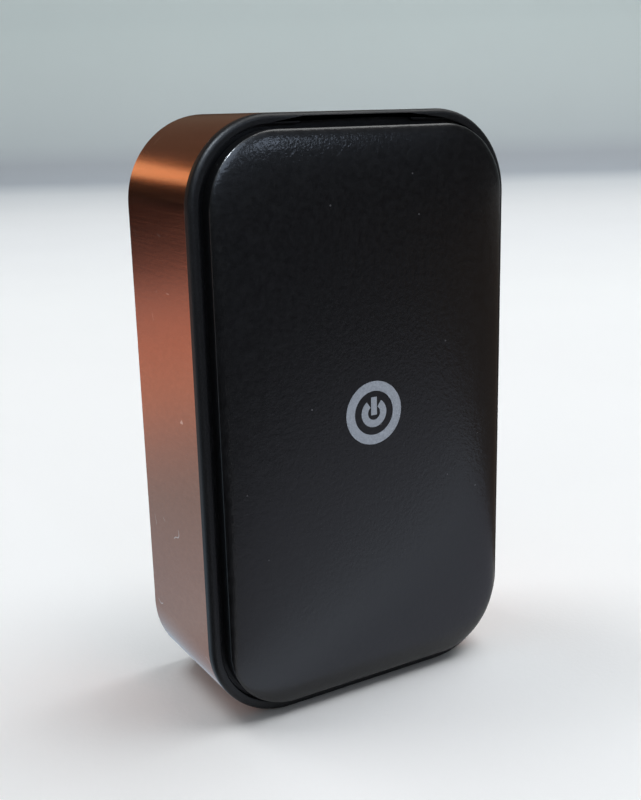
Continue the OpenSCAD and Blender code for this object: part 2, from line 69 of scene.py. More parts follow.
# ---- Floor and backdrop -------------------------------------------------------------------------
# One sheet of pale paper: flat under the tracker, and turned up in a wide bend far behind it. Its
# colour is painted darker far off and at the bend, a soft grey painted shade, and the wall above is
# greyish blue, lighter higher up as the painted shade eases. Its mottle and its fine tooth are those
# of uncoated paper.
class Finish:
    """A node material. Plain values are set on the shader, and patterns lie on the piece itself."""

    def __init__(self, name, **values):
        self.material = bpy.data.materials.new(name)
        self.material.use_nodes = True
        self.tree = self.material.node_tree
        self.shader = self.tree.nodes["Principled BSDF"]
        self.place = self.node("ShaderNodeTexCoord").outputs["Object"]
        for socket, value in values.items():
            self.shader.inputs[socket.replace("_", " ")].default_value = value

    def node(self, kind, inputs=(), **settings):
        made = self.tree.nodes.new(kind)
        for name, value in settings.items():
            setattr(made, name, value)
        for name, value in dict(inputs).items():
            if isinstance(value, bpy.types.NodeSocket):
                self.tree.links.new(value, made.inputs[name])
            else:
                made.inputs[name].default_value = value
        return made

    def moved(self, stretch=(1, 1, 1), shift=(0, 0, 0), turn=(0, 0, 0)):
        inputs = {"Vector": self.place, "Scale": stretch, "Location": shift, "Rotation": turn}
        return self.node("ShaderNodeMapping", inputs).outputs["Vector"]

    def noise(self, size, detail, stretch=(1, 1, 1), shift=(0, 0, 0)):
        """Soft noise with features of that size in metres, drawn out where stretch is under 1."""
        inputs = {"Vector": self.moved(stretch, shift), "Scale": 1 / size, "Detail": detail}
        return self.node("ShaderNodeTexNoise", inputs).outputs["Fac"]

    def cells(self, size):
        """Distance from points scattered about that size in metres apart, as a share of the size."""
        inputs = {"Vector": self.moved(), "Scale": 1 / size}
        return self.node("ShaderNodeTexVoronoi", inputs, feature="F1").outputs["Distance"]

    def ramp(self, fac, *stops):
        """Colours at stops (place, grey or colour) along a pattern."""
        made = self.node("ShaderNodeValToRGB", {"Fac": fac})
        made.color_ramp.interpolation = "LINEAR"
        while len(made.color_ramp.elements) < len(stops):
            made.color_ramp.elements.new(1)
        while len(made.color_ramp.elements) > len(stops):
            made.color_ramp.elements.remove(made.color_ramp.elements[-1])
        for element, (place, colour) in zip(made.color_ramp.elements, stops):
            element.position = place
            grey = isinstance(colour, (int, float))
            element.color = (colour, colour, colour, 1) if grey else (*colour, 1)
        return made.outputs["Color"]

    def maths(self, operation, a, b=0.0):
        return self.node("ShaderNodeMath", {0: a, 1: b}, operation=operation).outputs[0]

    def link(self, output, socket):
        self.tree.links.new(output, self.shader.inputs[socket])

    def bump(self, height, depth, strength=1.0, socket="Normal"):
        """Relief of that depth in metres."""
        inputs = {"Height": height, "Distance": depth, "Strength": strength}
        self.link(self.node("ShaderNodeBump", inputs).outputs["Normal"], socket)


def put(piece, mesh):
    """A new object of that name, at the origin, in the scene."""
    made = bpy.data.objects.new(piece, mesh)
    bpy.context.scene.collection.objects.link(made)
    return made


def mesh_of(bm, name, finish, smooth=30):
    """A mesh of a bmesh, smooth but for edges sharper than that angle, where large faces stay flat."""
    limit = math.cos(math.radians(smooth))
    bm.normal_update()
    areas = {face: face.calc_area() for face in bm.faces}
    normals = []
    for face in bm.faces:
        for vert in face.verts:
            alike = (f for f in vert.link_faces if f.normal.dot(face.normal) > limit)
            normals.append(sum((f.normal * areas[f] for f in alike), Vector()).normalized())
    mesh = bpy.data.meshes.new(name)
    bm.to_mesh(mesh)
    bm.free()
    mesh.shade_smooth()
    mesh.set_sharp_from_angle(angle=math.radians(smooth))
    mesh.normals_split_custom_set(normals)
    mesh.materials.append(finish.material)
    return mesh


paper = Finish("paper", Roughness=0.8, Specular_IOR_Level=0.15)
away = (-math.sin(heading), math.cos(heading), 1)
far = paper.node("ShaderNodeVectorMath", {0: paper.place, 1: away}, operation="DOT_PRODUCT")
# Paper tone by distance: pale near the tracker, then painted shade deepening to the bend and easing up
# the wall.
tone_and_painted_shade_by_metres = (
    (0.00, (0.96, 0.965, 0.975)),
    (0.12, (0.96, 0.965, 0.975)),
    (0.20, (0.95, 0.96, 0.97)),
    (0.32, (0.90, 0.91, 0.93)),
    (0.45, (0.86, 0.87, 0.89)),
    (0.60, (0.74, 0.76, 0.79)),
    (0.72, (0.49, 0.52, 0.57)),
    (0.78, (0.45, 0.48, 0.52)),
    (0.82, (0.54, 0.59, 0.61)),
    (0.95, (0.70, 0.78, 0.77)),
)
tone_and_painted_shade = paper.ramp(far.outputs["Value"], *tone_and_painted_shade_by_metres)
mottle = paper.ramp(paper.noise(70 * mm, 3), (0.3, 0.985), (0.7, 1.0))
tinted = paper.node(
    "ShaderNodeMix", {"Factor": 1.0, 6: tone_and_painted_shade, 7: mottle}, data_type="RGBA", blend_type="MULTIPLY",
)
paper.link(tinted.outputs[2], "Base Color")
paper.bump(paper.noise(0.4 * mm, 3), 0.02 * mm)

near_edge = -2500 * mm
wall_away = 840 * mm
wall_h = 900 * mm
bend = 120 * mm
half_w = 3000 * mm
bm = bmesh.new()
line = [bm.verts.new((-half_w, near_edge, 0)), bm.verts.new((-half_w, wall_away - bend, 0))]
bm.edges.new(line)
turned = bmesh.ops.spin(
    bm, geom=[line[1]], cent=(-half_w, wall_away - bend, bend), axis=(1, 0, 0), angle=math.radians(90),
    steps=24,
)
top = [v for v in turned["geom_last"] if isinstance(v, bmesh.types.BMVert)]
raised = bmesh.ops.extrude_vert_indiv(bm, verts=top)["verts"]
bmesh.ops.translate(bm, verts=raised, vec=(0, 0, wall_h))
swept = bmesh.ops.extrude_edge_only(bm, edges=bm.edges[:])["geom"]
far_side = [g for g in swept if isinstance(g, bmesh.types.BMVert)]
bmesh.ops.translate(bm, verts=far_side, vec=(2 * half_w, 0, 0))
bmesh.ops.rotate(bm, verts=bm.verts[:], cent=(0, 0, 0), matrix=Matrix.Rotation(heading, 3, "Z"))
bmesh.ops.recalc_face_normals(bm, faces=bm.faces[:])
put("paper_floor", mesh_of(bm, "paper_floor", paper))


# ---- Light --------------------------------------------------------------------------------------
# A pale room that shows only dimly in reflections, and two soft lamps, high on the right and high at
# the back left, which throw the two soft shadows. The other lamps show only in the tracker's gloss,
# such as the warm strip that lights the sleeve's top corner. The cards glow and show only in its
# gloss too: they are painted reflections.
room_light = 0.255
room_in_gloss = 0.04
world = bpy.data.worlds.new("room")
bpy.context.scene.world = world
world.use_nodes = True
world.cycles.sampling_method = "NONE"
room = world.node_tree
dim = room.nodes.new("ShaderNodeMapRange")
dim.inputs["To Min"].default_value = room_light
dim.inputs["To Max"].default_value = room_in_gloss
room.links.new(room.nodes.new("ShaderNodeLightPath").outputs["Is Glossy Ray"], dim.inputs["Value"])
room.nodes["Background"].inputs["Color"].default_value = (0.93, 0.97, 1.0, 1)
room.links.new(dim.outputs["Result"], room.nodes["Background"].inputs["Strength"])


def lamp(name, place, aim, w, h, power, colour=(1, 1, 1)):
    """A soft rectangular lamp at a place, turned to a point, both in millimetres."""
    light = bpy.data.lights.new(name, "AREA")
    light.shape = "RECTANGLE"
    light.size = w * mm
    light.size_y = h * mm
    light.energy = power
    light.color = colour
    made = put(name, light)
    made.location = Vector(place) * mm
    made.rotation_euler = (Vector(aim) - Vector(place)).to_track_quat("-Z", "Y").to_euler()
    made.visible_camera = False
    return made


lamp("top_lamp", (448, -110, 1005), (0, 0, 0), 700, 700, 7.15)
lamp("back_lamp", (-300, 300, 900), (0, 0, 0), 360, 360, 2.45).visible_glossy = False
warm, cool, cooler = (1, 0.58, 0.28), (0.80, 0.90, 1.0), (0.66, 0.79, 1.0)
for in_gloss in (
    lamp("corner_strip", (-78, 250, 105), (-10, 0, 42), 100, 31, 0.017, warm),
    lamp("front_lamp", (-215, -180, 455), (0, 0, 25), 90, 90, 4.2, cool),
    lamp("corner_lamp", (-74, -292, 236), (-12, -5, 45), 200, 200, 0.55, cooler),
    lamp("low_lamp", (102, -266, 144), (-8, -7, 42), 75, 40, 0.068, cooler),
):
    in_gloss.visible_diffuse = False


def card(name, corners_mm, finish):
    """A card out of the picture, with those four corners, that only shows as a painted reflection."""
    bm = bmesh.new()
    bmesh.ops.contextual_create(bm, geom=[bm.verts.new(Vector(corner) * mm) for corner in corners_mm])
    made = put(name, mesh_of(bm, name, finish))
    made.visible_camera = False
    made.visible_shadow = False
    made.visible_diffuse = False


def painted_reflection_glow(name, axis, *stops):
    """A finish that glows in colours at distances in millimetres along an axis, for a painted
    reflection.
    """
    made = Finish(name, Base_Color=(0, 0, 0, 1), Specular_IOR_Level=0.0, Emission_Strength=1.0)
    along = made.node("ShaderNodeVectorMath", {0: made.place, 1: axis}, operation="DOT_PRODUCT")
    stops_in_metres = [(place * mm, colour) for place, colour in stops]
    made.link(made.ramp(along.outputs["Value"], *stops_in_metres), "Emission Color")
    made.material.cycles.emission_sampling = "NONE"
    return made


# Painted reflection of a lit floor for the sleeve: bluish near the tracker, a warm patch further off,
# dark far away.
painted_floor_reflection = painted_reflection_glow(
    "painted_floor_reflection", (0, 1, 0),
    (2, (0.46, 0.56, 0.66)),
    (12, (0.49, 0.66, 0.80)),
    (22, (0.46, 0.60, 0.73)),
    (47, (0.42, 0.52, 0.60)),
    (67, (0.54, 0.52, 0.54)),
    (94, (0.78, 0.54, 0.46)),
    (133, (0.82, 0.48, 0.39)),
    (190, (0.60, 0.38, 0.34)),
    (247, (0.14, 0.10, 0.10)),
    (400, (0.01, 0.007, 0.007)),
)
card("painted_floor_reflection", [(-420, -4, 0.4), (-10.5, -4, 0.4), (-10.5, 640, 0.4), (-420, 640, 0.4)], painted_floor_reflection)
# Nearly black glowing cards: painted dark reflections of a shaded room.
painted_dark_reflection = painted_reflection_glow("painted_dark_reflection", (0, 0, 1), (0, (0.02, 0.015, 0.015)))
card("painted_right_dark_reflection", [(-10.5, 20, 0.4), (420, 20, 0.4), (420, 640, 0.4), (-10.5, 640, 0.4)], painted_dark_reflection)
card("painted_dark_reflection", [(-420, 620, 0), (420, 620, 0), (420, 620, 42), (-420, 620, 42)], painted_dark_reflection)
card("painted_left_dark_reflection", [(-420, -4, 0.4), (-420, -600, 0.4), (-16, -600, 0.4), (-16, -4, 0.4)], painted_dark_reflection)
# A painted reflection above the tracker's back: dark low down, dim warm higher up.
painted_back_top_reflection = painted_reflection_glow("painted_back_top_reflection", (0, 0, 1), (100, (0.02, 0.014, 0.010)), (200, (0.15, 0.110, 0.080)))
card("painted_back_top_reflection", [(-420, 630, 42), (420, 630, 42), (420, 500, 600), (-420, 500, 600)], painted_back_top_reflection)
# Painted reflection of the floor in front, seen in the cover: bright near with a brighter band, fading
# to dark far off.
painted_front_reflection = painted_reflection_glow(
    "painted_front_reflection", (-0.6, -1, 0),
    (0, (0.60, 0.62, 0.74)),
    (12, (0.74, 0.80, 0.94)),
    (17, (1.14, 1.25, 1.44)),
    (22, (0.74, 0.79, 0.91)),
    (30, (0.60, 0.62, 0.72)),
    (45, (0.50, 0.51, 0.60)),
    (60, (0.33, 0.34, 0.39)),
    (80, (0.18, 0.18, 0.20)),
    (130, (0.06, 0.06, 0.07)),
)
card("painted_front_reflection", [(-14, -9, 0.4), (420, -9, 0.4), (420, -600, 0.4), (-14, -600, 0.4)], painted_front_reflection)
# A dim warm painted reflection of the floor on the right.
painted_right_warm_reflection = painted_reflection_glow("painted_right_warm_reflection", (0, 0, 1), (0, (0.22, 0.16, 0.12)))
card("painted_right_warm_reflection", [(16, 20, 0.6), (420, 20, 0.6), (420, -300, 0.6), (200, -300, 0.6)], painted_right_warm_reflection)
# A dark upright card in front: a painted dark reflection.
painted_front_dark_reflection = painted_reflection_glow("painted_front_dark_reflection", (0, 0, 1), (0, (0.05, 0.045, 0.045)))
card("painted_front_dark_reflection", [(-60, -420, 0), (420, -300, 0), (420, -300, 420), (-60, -420, 420)], painted_front_dark_reflection)


# ---- Sleeve -------------------------------------------------------------------------------------
# An extruded aluminium band with a slot for the charging plug, slid over the frame's skirt. It is
# brushed from front to back, then anodised copper-bronze, and carries a few fine scratches.
def bare_copy(node):
    """A bmesh of a CAD node with its doubles merged and its flat faces whole."""
    bm = bmesh.new()
    bm.from_mesh(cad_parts[node].data)
    bmesh.ops.remove_doubles(bm, verts=bm.verts[:], dist=0.002 * mm)
    bmesh.ops.dissolve_limit(
        bm, angle_limit=math.radians(0.6), use_dissolve_boundaries=False, verts=bm.verts[:],
        edges=bm.edges[:],
    )
    return bm


def corners(bm, y=None):
    """The sharp edges of a bmesh, on one plane along Y if that is given, in millimetres."""
    sharp = math.radians(50)
    found = []
    for edge in bm.edges:
        if len(edge.link_faces) != 2 or edge.calc_face_angle(0) < sharp:
            continue
        if y is not None and any(abs(v.co.y - y * mm) > 0.01 * mm for v in edge.verts):
            continue
        found.append(edge)
    return found


def soften(bm, edges, width, segments=3):
    """Rounds those edges over that width in millimetres."""
    bmesh.ops.bevel(
        bm, geom=edges, offset=width * mm, offset_type="OFFSET", affect="EDGES", segments=segments,
        profile=0.5, material=-1, clamp_overlap=True, loop_slide=True,
    )


def stand_in(bm, name, node, body, finish, smooth=30):
    """The piece that takes a CAD node's place."""
    made = put(name, mesh_of(bm, name, finish, smooth))
    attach(made, body)
    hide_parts(node)
    return made


anodised = Finish("anodised_copper", Metallic=1.0, Coat_Weight=0.8, Coat_Roughness=0.17, Coat_IOR=1.5)
anodised.shader.inputs["Specular Tint"].default_value = (0.7, 0.5, 0.42, 1)
streaks = anodised.noise(0.09 * mm, 4, (1, 0.012, 1))
patches = anodised.noise(9 * mm, 2, (1, 0.5, 1))
sparkle = anodised.noise(0.24 * mm, 3, (1, 0.45, 1))
long_part = anodised.maths("MULTIPLY", streaks, 0.3)
brushing = anodised.maths("ADD", long_part, anodised.maths("MULTIPLY", sparkle, 0.7))
brushed_part = anodised.maths("MULTIPLY", brushing, 0.7)
mixed = anodised.maths("ADD", brushed_part, anodised.maths("MULTIPLY", patches, 0.3))
copper = anodised.ramp(mixed, (0.38, (0.415, 0.181, 0.114)), (0.62, (0.485, 0.219, 0.141)))

scratch_shift = (0, 2.9 * mm, 5.2 * mm)
wander = anodised.maths("SUBTRACT", anodised.noise(3.2 * mm, 1, shift=scratch_shift), 0.5)
scratch = anodised.maths("LESS_THAN", anodised.maths("ABSOLUTE", wander), 0.006)
rare = anodised.maths("GREATER_THAN", anodised.noise(2.1 * mm, 1, shift=scratch_shift), 0.70)
worn = anodised.maths("MULTIPLY", scratch, rare)
bared = (0.80, 0.62, 0.55, 1)
marked = anodised.node("ShaderNodeMix", {0: worn, 6: copper, 7: bared}, data_type="RGBA")
anodised.link(marked.outputs[2], "Base Color")
anodised.link(anodised.ramp(streaks, (0.3, 0.19), (0.7, 0.27)), "Roughness")
anodised.bump(brushing, 0.010 * mm, 0.7)

bm = bare_copy("sleeve")
lo, hi = (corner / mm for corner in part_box("sleeve"))
front_edge_round, back_edge_round = 0.04, 0.1
soften(bm, corners(bm, lo.y), front_edge_round)
soften(bm, corners(bm, hi.y), back_edge_round)
stand_in(bm, "metal_sleeve", "sleeve", "case", anodised)


# ---- Front frame --------------------------------------------------------------------------------
# A moulded black frame. Its rounded rim shows in front of the sleeve, with a finger-nail notch in its
# top. A skirt holds it in the sleeve, and its deck lies behind the cover.
frame_black = Finish("frame_black", Specular_IOR_Level=0.25)
grain = frame_black.noise(0.09 * mm, 3)
black = frame_black.ramp(grain, (0.35, (0.004, 0.004, 0.005)), (0.75, (0.016, 0.017, 0.020)))
frame_black.link(black, "Base Color")
frame_black.link(frame_black.ramp(grain, (0.3, 0.34), (0.7, 0.50)), "Roughness")
frame_black.bump(grain, 0.02 * mm, 0.8)

bm = bare_copy("front_frame")
lo, hi = (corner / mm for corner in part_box("front_frame"))
middle_z = 23.5
outer_round, inner_round = 0.42, 0.14
outer = []
for edge in corners(bm, lo.y):
    from_middle = (edge.verts[0].co + edge.verts[1].co) / 2 - Vector((0, 0, middle_z * mm))
    side = min(edge.link_faces, key=lambda f: abs(f.normal.y))
    if side.normal.dot(from_middle) > 0:
        outer.append(edge)
soften(bm, outer, outer_round, 5)
soften(bm, corners(bm, lo.y), inner_round)
stand_in(bm, "rim_and_deck", "front_frame", "case", frame_black)


# ---- Front cover --------------------------------------------------------------------------------
# The crowned cover, moulded in satin black with a fine leathery grain, and a little dusty. It hooks
# into the frame at its bottom edge, snaps in at the top, and is the key's face too.
cover_black = Finish("cover_black", Specular_IOR_Level=0.25, Coat_Weight=0.4, Coat_Roughness=0.12)
leather = cover_black.noise(0.42 * mm, 3)
pebbles = cover_black.noise(0.2 * mm, 2)
dust = cover_black.maths("LESS_THAN", cover_black.cells(2.4 * mm), 0.03)
black = cover_black.ramp(leather, (0.3, (0.0012, 0.0012, 0.0018)), (0.7, (0.0028, 0.0028, 0.0036)))
dust_grey = (0.09, 0.09, 0.10, 1)
dusted = cover_black.node("ShaderNodeMix", {0: dust, 6: black, 7: dust_grey}, data_type="RGBA")
cover_black.link(dusted.outputs[2], "Base Color")
cover_black.link(cover_black.ramp(leather, (0.3, 0.36), (0.7, 0.46)), "Roughness")
cover_black.bump(leather, 0.02 * mm, 0.6)
cover_black.bump(cover_black.maths("ADD", leather, pebbles), 0.022 * mm, 0.8, "Coat Normal")

half_x, half_z = 12.93, 22.38
crown_depth = 0.79
edge_y = -6.325


def crown_y(inset):
    """Where the crown's surface lies at an inset from the cover's edge."""
    return edge_y - crown_depth * math.sqrt(1 - (1 - min(inset / half_x, 1)) ** 4)


def build_up(bm, steps):
    """Grows the open rim of a bmesh through steps of (inset, y), each a smaller outline."""
    rim = [e for e in bm.edges if e.is_boundary]
    last_x, last_z = half_x, half_z
    for inset, y in steps:
        grown = bmesh.ops.extrude_edge_only(bm, edges=rim)["geom"]
        verts = [g for g in grown if isinstance(g, bmesh.types.BMVert)]
        rim = [g for g in grown if isinstance(g, bmesh.types.BMEdge) and g.is_boundary]
        sx, sz = (half_x - inset) / last_x, (half_z - inset) / last_z
        for v in verts:
            v.co.x *= sx
            v.co.z = middle_z * mm + (v.co.z - middle_z * mm) * sz
            v.co.y = y * mm
        last_x, last_z = half_x - inset, half_z - inset
    return rim


bm = bare_copy("front_cover")
plane = (edge_y + 0.05) * mm
bmesh.ops.bisect_plane(
    bm, geom=bm.verts[:] + bm.edges[:] + bm.faces[:], dist=0.001 * mm, plane_co=(0, plane, 0),
    plane_no=(0, -1, 0), clear_outer=True,
)
insets = (
    0, 0.01, 0.03, 0.07, 0.13, 0.22, 0.35, 0.55, 0.8, 1.15, 1.6,
    2.2, 3, 4, 5.2, 6.6, 8.2, 9.8, 11.2, 12.2, 12.8,
)
rim = build_up(bm, [(inset, crown_y(inset)) for inset in insets])
for v in {v for e in rim for v in e.verts}:
    v.co.x = 0
bmesh.ops.remove_doubles(bm, verts=bm.verts[:], dist=0.004 * mm)
bmesh.ops.dissolve_degenerate(bm, edges=bm.edges[:], dist=0.001 * mm)
stand_in(bm, "crowned_cover", "front_cover", "cover", cover_black, 40)


# ---- Power symbol -------------------------------------------------------------------------------
# The usual power symbol in a ring, which marks where to press. It is printed in one layer of grey ink
# on the crown, near the cover's middle.
ink = Finish("symbol_ink", Roughness=0.5)
cloudy = ink.noise(0.12 * mm, 3)
ink.link(ink.ramp(cloudy, (0.3, (0.31, 0.342, 0.405)), (0.7, (0.405, 0.446, 0.515))), "Base Color")
ink.bump(ink.noise(0.1 * mm, 2), 0.004 * mm)

symbol_y, symbol_z = -7.122, 24.12
ring_inner, ring_outer = 1.77, 2.55
arc_inner, arc_outer, arc_gap = 0.56, 1.15, 70
bar_w, bar_h, bar_up = 0.53, 1.44, 0.55
ink_t = 0.008
bm = bmesh.new()


def ring(inner, outer, start, turn):
    """A flat ring, or a part of one, of those radii about the symbol's middle."""
    ends = [bm.verts.new((r * mm, 0, 0)) for r in (inner, outer)]
    bm.edges.new(ends)
    bmesh.ops.rotate(bm, verts=ends, cent=(0, 0, 0), matrix=Matrix.Rotation(math.radians(start), 3, "Y"))
    bmesh.ops.spin(
        bm, geom=ends + list(ends[0].link_edges), cent=(0, 0, 0), axis=(0, 1, 0),
        angle=math.radians(turn), steps=72, use_merge=turn == 360,
    )


ring(ring_inner, ring_outer, 0, 360)
ring(arc_inner, arc_outer, arc_gap / 2 - 90, 360 - arc_gap)
bar = bmesh.ops.create_grid(bm, x_segments=1, y_segments=1, size=0.5)["verts"]
bmesh.ops.scale(bm, vec=(bar_w * mm, bar_h * mm, 1), verts=bar)
bmesh.ops.rotate(bm, verts=bar, cent=(0, 0, 0), matrix=Matrix.Rotation(math.radians(90), 3, "X"))
bmesh.ops.translate(bm, verts=bar, vec=(0, 0, bar_up * mm))
bmesh.ops.recalc_face_normals(bm, faces=bm.faces[:])
for face in bm.faces:
    if face.normal.y > 0:
        face.normal_flip()
bmesh.ops.translate(bm, verts=bm.verts[:], vec=(0, symbol_y * mm, symbol_z * mm))
bmesh.ops.solidify(bm, geom=bm.faces[:], thickness=ink_t * mm)
symbol = put("power_symbol", mesh_of(bm, "power_symbol", ink))
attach(symbol, "cover")


# ---- Rear cover ---------------------------------------------------------------------------------
# The back, moulded in the same black with a rounded edge. Its lip fits inside the sleeve, its four
# pillars take the screws, and its rings the magnets.
rear_black = Finish("rear_black", Roughness=0.5)
grain = rear_black.noise(0.12 * mm, 4)
black = rear_black.ramp(grain, (0.3, (0.008, 0.008, 0.009)), (0.7, (0.018, 0.018, 0.02)))
rear_black.link(black, "Base Color")
rear_black.link(rear_black.ramp(grain, (0.3, 0.42), (0.7, 0.55)), "Roughness")
rear_black.bump(grain, 0.015 * mm, 0.7)

half_x, half_z = 13.65, 23.1
rear_start, rear_face, rear_round, rear_steps = 6.125, 7.125, 0.6, 8
bm = bare_copy("rear_cover")
plane = (rear_start + 0.05) * mm
bmesh.ops.bisect_plane(
    bm, geom=bm.verts[:] + bm.edges[:] + bm.faces[:], dist=0.001 * mm, plane_co=(0, plane, 0),
    plane_no=(0, 1, 0), clear_outer=True,
)
steps = []
for i in range(rear_steps + 1):
    angle = math.radians(90) * i / rear_steps
    inwards, back = 1 - math.cos(angle), 1 - math.sin(angle)
    steps.append((rear_round * inwards, rear_face - rear_round * back))
rim = build_up(bm, steps)
bmesh.ops.contextual_create(bm, geom=rim)
stand_in(bm, "back_shell", "rear_cover", "case", rear_black)


# ---- Case screws --------------------------------------------------------------------------------
# Four zinc-plated steel screws with cross recesses. They go through the deck and the board into the
# pillars of the rear cover.
def metal(name, dark, light, size, roughness, stretch=(1, 1, 1), depth=0.003):
    """A bare metal that varies between two colours, with a pattern of that size and depth in mm."""
    made = Finish(name, Metallic=1.0)
    pattern = made.noise(size * mm, 4, stretch)
    made.link(made.ramp(pattern, (0.3, dark), (0.7, light)), "Base Color")
    made.link(made.ramp(pattern, (0.3, roughness * 0.8), (0.7, roughness * 1.2)), "Roughness")
    made.bump(pattern, depth * mm, 0.7)
    return made


def softened(name, node, body, finish, width, segments=2):
    """A CAD node with its edges eased over a width in millimetres."""
    bm = bare_copy(node)
    soften(bm, corners(bm), width, segments)
    stand_in(bm, name, node, body, finish)


zinc = metal("screw_zinc", (0.42, 0.43, 0.45), (0.62, 0.63, 0.65), 0.5, 0.34)
softened("cross_head_screws", "case_screws", "case", zinc, 0.07)


# ---- Main board ---------------------------------------------------------------------------------
# A glass-fibre circuit board, coated in green solder mask over its copper tracks, with plated vias.
# The case screws clamp it to the pillars of the rear cover.
mask = Finish("solder_mask", Roughness=0.28, Coat_Weight=0.5, Coat_Roughness=0.12)
face_on = mask.moved(turn=(math.radians(90), 0, 0))
runs = {
    "Vector": face_on, "Scale": 1 / mm, "Mortar Size": 0.07, "Mortar Smooth": 0.2, "Brick Width": 2.6,
    "Row Height": 0.62,
}
laid = mask.node("ShaderNodeTexBrick", runs, offset=0.37, squash=1.4, squash_frequency=3)
tracks = laid.outputs["Fac"]
hole = mask.cells(1.3 * mm)
green = mask.ramp(tracks, (0.0, (0.010, 0.085, 0.040)), (1.0, (0.022, 0.160, 0.075)))
near = mask.ramp(hole, (0.09, 1.0), (0.11, 0.0))
via_gold = (0.55, 0.42, 0.18, 1)
plated = mask.node("ShaderNodeMix", {0: near, 6: green, 7: via_gold}, data_type="RGBA")
mask.link(plated.outputs[2], "Base Color")
mask.bump(tracks, 0.02 * mm, 0.8)
softened("circuit_board", "main_board", "case", mask, 0.06)


# ---- Shield can and crystal ---------------------------------------------------------------------
# The radio is closed in a can of folded tin-plated sheet, soldered down along its edges. The crystal
# is a small metal package with a seam-welded lid.
tin = metal("tin_plate", (0.58, 0.59, 0.60), (0.74, 0.75, 0.76), 1.6, 0.30)
softened("folded_can", "shield_can", "case", tin, 0.12, 3)
softened("crystal_lid", "crystal", "case", tin, 0.1)


# ---- Chips --------------------------------------------------------------------------------------
# The processor, the memory, the power chip and the motion sensor: black moulded packages, with a
# fine sparkle of filler in the resin and no marking, soldered flat on the board.
resin = Finish("moulded_resin", Roughness=0.55)
filler = resin.noise(0.05 * mm, 3)
black = resin.ramp(filler, (0.35, (0.008, 0.008, 0.009)), (0.75, (0.035, 0.035, 0.037)))
resin.link(black, "Base Color")
resin.bump(filler, 0.006 * mm, 0.7)
for name in ("processor_chip", "memory_chip", "power_chip", "motion_sensor"):
    softened("package_" + name, name, "case", resin, 0.06)


# ---- Small resistors and capacitors -------------------------------------------------------------
# Rows of small fired ceramic bodies with tinned caps at both ends. The caps are soldered to the
# board.
ceramic = Finish("capacitor_ceramic", Roughness=0.4)
speck = ceramic.noise(0.12 * mm, 3)
ceramic.link(ceramic.ramp(speck, (0.3, (0.26, 0.19, 0.13)), (0.7, (0.40, 0.31, 0.22))), "Base Color")
ceramic.bump(speck, 0.004 * mm, 0.6)

reach, bare_reach = 0.51 * mm, 0.26 * mm
bm = bare_copy("board_passives")
left = set(bm.verts)
middles = set()
while left:
    island = {left.pop()}
    grown = set(island)
    while grown:
        grown = {e.other_vert(v) for v in grown for e in v.link_edges} - island
        island |= grown
    left -= island
    middles.add(round(sum(v.co.x for v in island) / len(island), 6))
for middle in sorted(middles):
    for side in (-1, 1):
        faces = [f for f in bm.faces if abs(f.calc_center_median().x - middle) < reach]
        edges = list({e for f in faces for e in f.edges})
        verts = list({v for f in faces for v in f.verts})
        cut = (middle + side * bare_reach, 0, 0)
        bmesh.ops.bisect_plane(
            bm, geom=faces + edges + verts, dist=0.001 * mm, plane_co=cut, plane_no=(1, 0, 0),
        )
for face in bm.faces:
    x = face.calc_center_median().x
    face.material_index = int(min(abs(x - middle) for middle in middles) > bare_reach)
made = stand_in(bm, "capped_chips", "board_passives", "case", ceramic)
made.data.materials.append(tin.material)


# ---- Satellite antenna --------------------------------------------------------------------------
# A block of fired ceramic, taped to the board, with a silver face fired onto it. It is fed by a pin
# through the block, soldered a little off the middle of its face.
fired = Finish("patch_ceramic", Roughness=0.35)
grog = fired.noise(0.3 * mm, 4)
fired.link(fired.ramp(grog, (0.3, (0.52, 0.42, 0.26)), (0.7, (0.66, 0.55, 0.38))), "Base Color")
fired.bump(grog, 0.008 * mm, 0.7)
softened("patch_block", "gnss_antenna", "case", fired, 0.15, 3)

silver = metal("fired_silver", (0.68, 0.67, 0.64), (0.78, 0.77, 0.74), 1.2, 0.42, depth=0.002)
lo, hi = (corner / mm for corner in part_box("gnss_electrode"))
softened("silver_face", "gnss_electrode", "case", silver, 0.01)
solder_r, solder_flat, solder_right, solder_in = 0.75, 0.42, 0.9, 0.02
bm = bmesh.new()
bmesh.ops.create_uvsphere(bm, u_segments=32, v_segments=16, radius=solder_r * mm)
bmesh.ops.scale(bm, vec=(1, solder_flat, 1), verts=bm.verts[:])
pin = Vector(((lo.x + hi.x) / 2 + solder_right, lo.y + solder_in, (lo.z + hi.z) / 2))
bmesh.ops.translate(bm, verts=bm.verts[:], vec=pin * mm)
feed = put("feed_solder", mesh_of(bm, "feed_solder", silver))
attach(feed, "case")


# ---- Radio antenna ------------------------------------------------------------------------------
# Copper pads under an amber film, stuck to the deck. A gold-plated spring clip on the board presses
# on its back.
def amber(name, dark, light):
    """A glossy film or tape over something of those colours."""
    made = Finish(name, Roughness=0.3, Coat_Weight=0.6, Coat_Roughness=0.1)
    ripple = made.noise(0.9 * mm, 3)
    made.link(made.ramp(ripple, (0.3, dark), (0.7, light)), "Base Color")
    made.bump(ripple, 0.015 * mm, 0.6)
    return made


